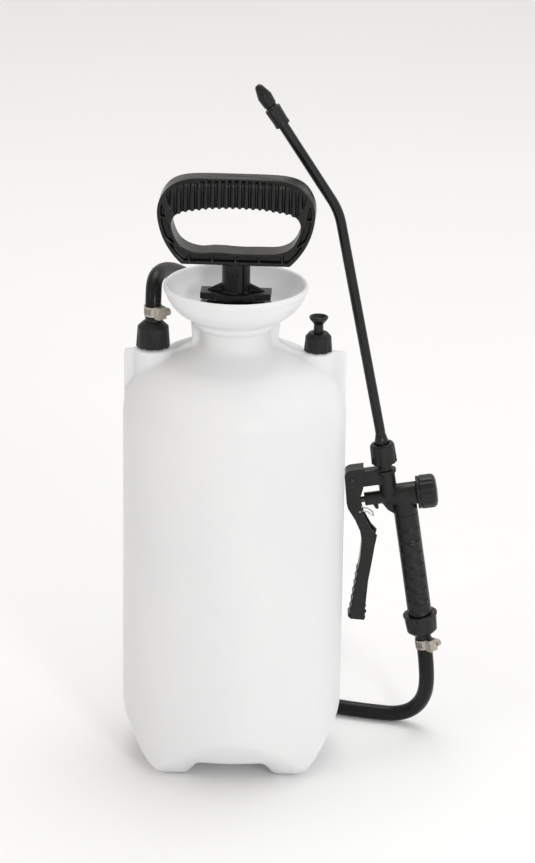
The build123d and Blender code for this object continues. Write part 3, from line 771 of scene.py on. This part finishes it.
def field_rib(side, x):
    """An upright rib on the front (side -1) or the back (side 1)."""
    low, top = height_on(OPENING_TOP, x) + 1.0, height_on(CROWN, x) - 1.6
    path = []
    for step in range(RIB_STEPS + 1):
        z = low + (top - low) * step / RIB_STEPS
        sunk = RIB_SINK + RIB_TOP_SINK * (step / RIB_STEPS) ** 2
        path.append((x, side * (grip_half_depth(z) - RIB_R - sunk), z))
    return tube("rib", path, RIB_R, (1, 0, 0))


def make_handle():
    """The moulded grip with a field of upright ribs on its front and back."""
    grip = copy_of("handle_grip", "handle_moulding")
    turn = Matrix.Rotation(HANDLE_TURN, 4, "Z")
    field = ribbed_field()
    field.data.transform(turn)
    cut(grip, field)
    pieces = [field_core()]
    for side in (-1, 1):
        pieces += [field_rib(side, (k - (RIBS - 1) / 2) * RIB_PITCH) for k in range(RIBS)]
    for piece in pieces:
        piece.data.transform(turn)
    join(grip, pieces)
    soften(grip, 0.5 * MM, 2)
    finish_piece(grip, HANDLE_BLACK, "handle", "handle_black", "handle_grip")


def make_sleeve_groove_shade():
    """A thin dark sheet on the sleeve under the grip: painted shade for its groove."""
    low, top = SLOT_Z
    half = SLOT_HALF_WIDTH
    outline = [(-half, low), (half, low), (half, top), (-half, top)]
    slot = prism("sleeve_groove_shade", in_metres(outline), SLOT_DEPTH * MM)
    slot.data.transform(Matrix.Rotation(SLOT_TURN, 4, "Z") @ Matrix.Translation((0, -SLEEVE_R * MM, 0)))
    # The seal rubber's matte black on this sheet is painted shade for the groove.
    finish_piece(slot, RUBBER_AND_SHADE, "handle", "handle_black")


# ---------------------------------------------------------------- gun and small mouldings

GUN = Matrix.Translation((GUN_X * MM, GUN_Y * MM, GUN_Z * MM)) @ Matrix.Rotation(-GUN_LEAN, 4, "Y")
GRIP_R = 10.45
GRIP_BORE_R = 7.45
GRIP_TOP_W = -17.6
GRIP_SHOULDER_W = -112.0
GRIP_TAIL_R = 9.2
GRIP_TAIL_W = -122.0
GRIP_STEP = 0.35                 # between the points along the grip's outside
RIDGES = 7
RIDGE_PITCH = 11.3
RIDGE_FIRST_W = -34.0
RIDGE_HEIGHT = 1.25
RIDGE_ARC = 2.6                  # how much the crescents bend
RIDGE_END = math.radians(66)     # how far round they reach, and over what angle they fade
RIDGE_FADE = math.radians(14)


def ridge_rise(side, w):
    """How high the crescent ridges stand at an angle off the front or back: a slow rise and a sharp fall."""
    place = (RIDGE_FIRST_W + RIDGE_ARC * side * side - w) / RIDGE_PITCH
    if not -1 < place < RIDGES:
        return 0.0
    share = place % 1.0
    return ease((share - 0.62) / 0.26) * ease((1.0 - share) / 0.1) * ease((RIDGE_END - side) / RIDGE_FADE)


def make_grip():
    """The gun's hand grip: a tube with crescent ridges on its front and back."""
    outline = [
        (GRIP_BORE_R, GRIP_TOP_W), (GRIP_R, GRIP_TOP_W), (GRIP_R, GRIP_SHOULDER_W),
        (GRIP_TAIL_R, GRIP_SHOULDER_W - 0.2), (GRIP_TAIL_R, GRIP_TAIL_W), (GRIP_BORE_R, GRIP_TAIL_W),
    ]
    fine = []
    for (r0, w0), (r1, w1) in zip(outline, outline[1:] + outline[:1]):
        outside = r0 > GRIP_BORE_R and r1 > GRIP_BORE_R
        steps = max(1, round(abs(w1 - w0) / GRIP_STEP)) if outside else 1
        fine += [(r0 + (r1 - r0) * k / steps, w0 + (w1 - w0) * k / steps) for k in range(steps)]
    grip = lathe("grip_moulding", in_metres(fine), 180)
    for vertex in grip.data.vertices:
        u, v, w = vertex.co / MM
        radius = math.hypot(u, v)
        if radius < GRIP_R - 0.1:
            continue
        side = math.atan2(abs(u), abs(v))
        grow = 1 + RIDGE_HEIGHT * ridge_rise(side, w) / radius
        vertex.co = (u * grow * MM, v * grow * MM, w * MM)
    grip.data.transform(GUN)
    finish_piece(grip, BLACK, "sprayer", NODE_SLOT["grip"], "grip")


FINGER_RIDGES = 6
FINGER_RIDGE_R = 3.0
FINGER_TOP = (-48.2, -63.5)      # the first ridge, and how far the last one is from it
FINGER_RUN = (-10.6, -34.5)


def lever_bar(name, u, w, radius, across_v):
    """A round bar across the lever, through points at the given distances from its middle plane."""
    return tube(name, [(u, v, w) for v in across_v], radius, (1, 0, 0))


def make_lever():
    """The trigger: a channel with finger ridges along its back and a flared foot."""
    lever = copy_of("lever", "lever_moulding")
    extras = []
    for k in range(FINGER_RIDGES):
        share = k / (FINGER_RIDGES - 1)
        u, w = (start + run * share for start, run in zip(FINGER_TOP, FINGER_RUN))
        extras.append(lever_bar("ridge", u + 1.2, w - 0.4, FINGER_RIDGE_R, (-5.7, 0, 5.7)))
    extras.append(lever_bar("foot", -59.6, -103.9, 3.2, (-5.6, 0, 5.6)))
    extras.append(lever_bar("toe", -49.6, -107.0, 2.0, (-6.6, 0, 6.6)))
    extras.append(lever_bar("spur", -47.6, -101.6, 1.7, (-6.9, -6.0)))
    extras.append(lever_bar("spur", -47.6, -101.6, 1.7, (6.0, 6.9)))
    for extra in extras:
        extra.data.transform(GUN)
    join(lever, extras)
    soften(lever, 0.45 * MM, 2)
    finish_piece(lever, BLACK, "trigger", NODE_SLOT["lever"], "lever")


SOFTENED = (                     # node, body, voxel in millimetres, rounds of smoothing
    ("pump_lid", "pump_barrel", 0.5, 2),
    ("outlet_nut", "sprayer", 0.38, 3),
    ("relief_nut", "sprayer", 0.35, 3),
    ("relief_knob", "relief", 0.3, 2),
    ("gun_body", "sprayer", 0.45, 3),
    ("valve_cap", "sprayer", 0.38, 3),
    ("grip_nut", "sprayer", 0.38, 3),
    ("lance_nut", "sprayer", 0.35, 3),
    ("nozzle_holder", "spray_lance", 0.28, 2),
    ("nozzle_cap", "nozzle", 0.28, 2),
)


def make_mouldings():
    """The black parts that only need the soft edges of a moulding."""
    for node, body, voxel, rounds in SOFTENED:
        piece = copy_of(node, f"{node}_moulding")
        soften(piece, voxel * MM, rounds)
        finish_piece(piece, BLACK, body, NODE_SLOT[node], node)


RELIEF_SPRING_TOP_Z = 381.8      # the end of each spring that stays in place
VALVE_SPRING_END_U = 24.9
RELIEF_SPRING_LENGTH = 14.3
VALVE_SPRING_LENGTH = 24.8


def make_springs():
    """The two coil springs, copied from their nodes in steel wire."""
    relief_end = (RELIEF_X * MM, 0, RELIEF_SPRING_TOP_Z * MM)
    valve_end = tuple(GUN @ Vector((VALVE_SPRING_END_U * MM, 0, 0)))
    for node, joint, free_length, anchor in (
        ("relief_spring", joints["relief_pull"], RELIEF_SPRING_LENGTH * MM, relief_end),
        ("valve_spring", joints["valve_push"], VALVE_SPRING_LENGTH * MM, valve_end),
    ):
        spring = copy_of(node, f"{node}_coil")
        finish_piece(spring, WIRE, "sprayer", "wire_steel", node)
        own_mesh(spring)


UPPER_CLAMP = Matrix.Translation((OUTLET_X * MM, 0, 402.0 * MM))
LOWER_CLAMP = GUN @ Matrix.Translation((0, 0, -141.2 * MM))
CLAMP_TURN = math.radians(-50.0)
BAND_R = 7.25
BAND_SLOT_HALF = 2.1
BAND_SLOT_R = 0.5
BAND_SLOT_DEGREES = range(60, 330, 12)


def make_clamp_slots():
    """The hose shows dark through the slots of each clamp's band."""
    for name, place in (("upper_clamp_slots", UPPER_CLAMP), ("lower_clamp_slots", LOWER_CLAMP)):
        slots = []
        for degrees in BAND_SLOT_DEGREES:
            path = [(BAND_R, 0, -BAND_SLOT_HALF), (BAND_R, 0, BAND_SLOT_HALF)]
            slot = tube("slot", path, BAND_SLOT_R, (1, 0, 0), 10)
            slot.data.transform(place @ Matrix.Rotation(CLAMP_TURN - math.radians(degrees), 4, "Z"))
            slots.append(slot)
        piece = join(slots[0], slots[1:])
        piece.name = name
        finish_piece(piece, RUBBER_AND_SHADE, "sprayer", "hose_black")


# ---------------------------------------------------------------- stage

FLOOR_HALF = 40.0
FLOOR_Z = -0.0002                # just under the feet
WORLD_STRENGTH = 0.92
LIGHTS = (                       # name, place, target, size in metres, power in watts
    ("key", (1.0, -2.5, 1.15), (0, 0, 0.3), 0.45, 16),
    ("fill", (-2.2, -1.6, 1.5), (0, 0, 0.25), 0.8, 6),
    ("top", (0.2, 0.9, 3.0), (0, 0.3, 0.0), 2.0, 32),
)


def make_floor():
    """A plain pale floor."""
    corners = [(x * FLOOR_HALF, y * FLOOR_HALF, FLOOR_Z) for x, y in ((-1, -1), (1, -1), (1, 1), (-1, 1))]
    floor = mesh_object("floor", corners, [(0, 1, 2, 3)])
    made, tree, shader = material("floor_paint", (0.95, 0.95, 0.95), 0.6, 0.2)
    tone = ramp(tree, noise(tree, 3.0), (0.945, 0.945, 0.945), (0.955, 0.955, 0.955), 0.3, 0.7)
    paint(tree, shader, "Base Color", tone)
    floor.data.materials.append(made)


def make_world():
    """Light from all round, a little dimmer and warmer from the left."""
    world = bpy.data.worlds.new("studio")
    world.use_nodes = True
    tree = world.node_tree
    way = tree.nodes.new("ShaderNodeTexCoord")
    split = tree.nodes.new("ShaderNodeSeparateXYZ")
    tree.links.new(way.outputs["Generated"], split.inputs["Vector"])
    tone = ramp(tree, split.outputs["X"], (0.66, 0.645, 0.62), (1.0, 1.0, 1.0), 0.0, 0.7)
    tree.links.new(tone, tree.nodes["Background"].inputs["Color"])
    tree.nodes["Background"].inputs["Strength"].default_value = WORLD_STRENGTH
    bpy.context.scene.world = world
    bpy.context.scene.view_settings.view_transform = "Standard"


def make_lights():
    for name, place, target, size, power in LIGHTS:
        data = bpy.data.lights.new(name, "AREA")
        data.size = size
        data.energy = power
        light = bpy.data.objects.new(name, data)
        light.location = place
        light.rotation_euler = (Vector(target) - Vector(place)).to_track_quat("-Z", "Y").to_euler()
        bpy.context.scene.collection.objects.link(light)


make_camera()
paint_nodes()
make_hose()
make_tank_body()
make_funnel()
make_handle()
make_sleeve_groove_shade()
make_mouldings()
make_grip()
make_lever()
make_clamp_slots()
make_springs()
make_floor()
make_world()
make_lights()
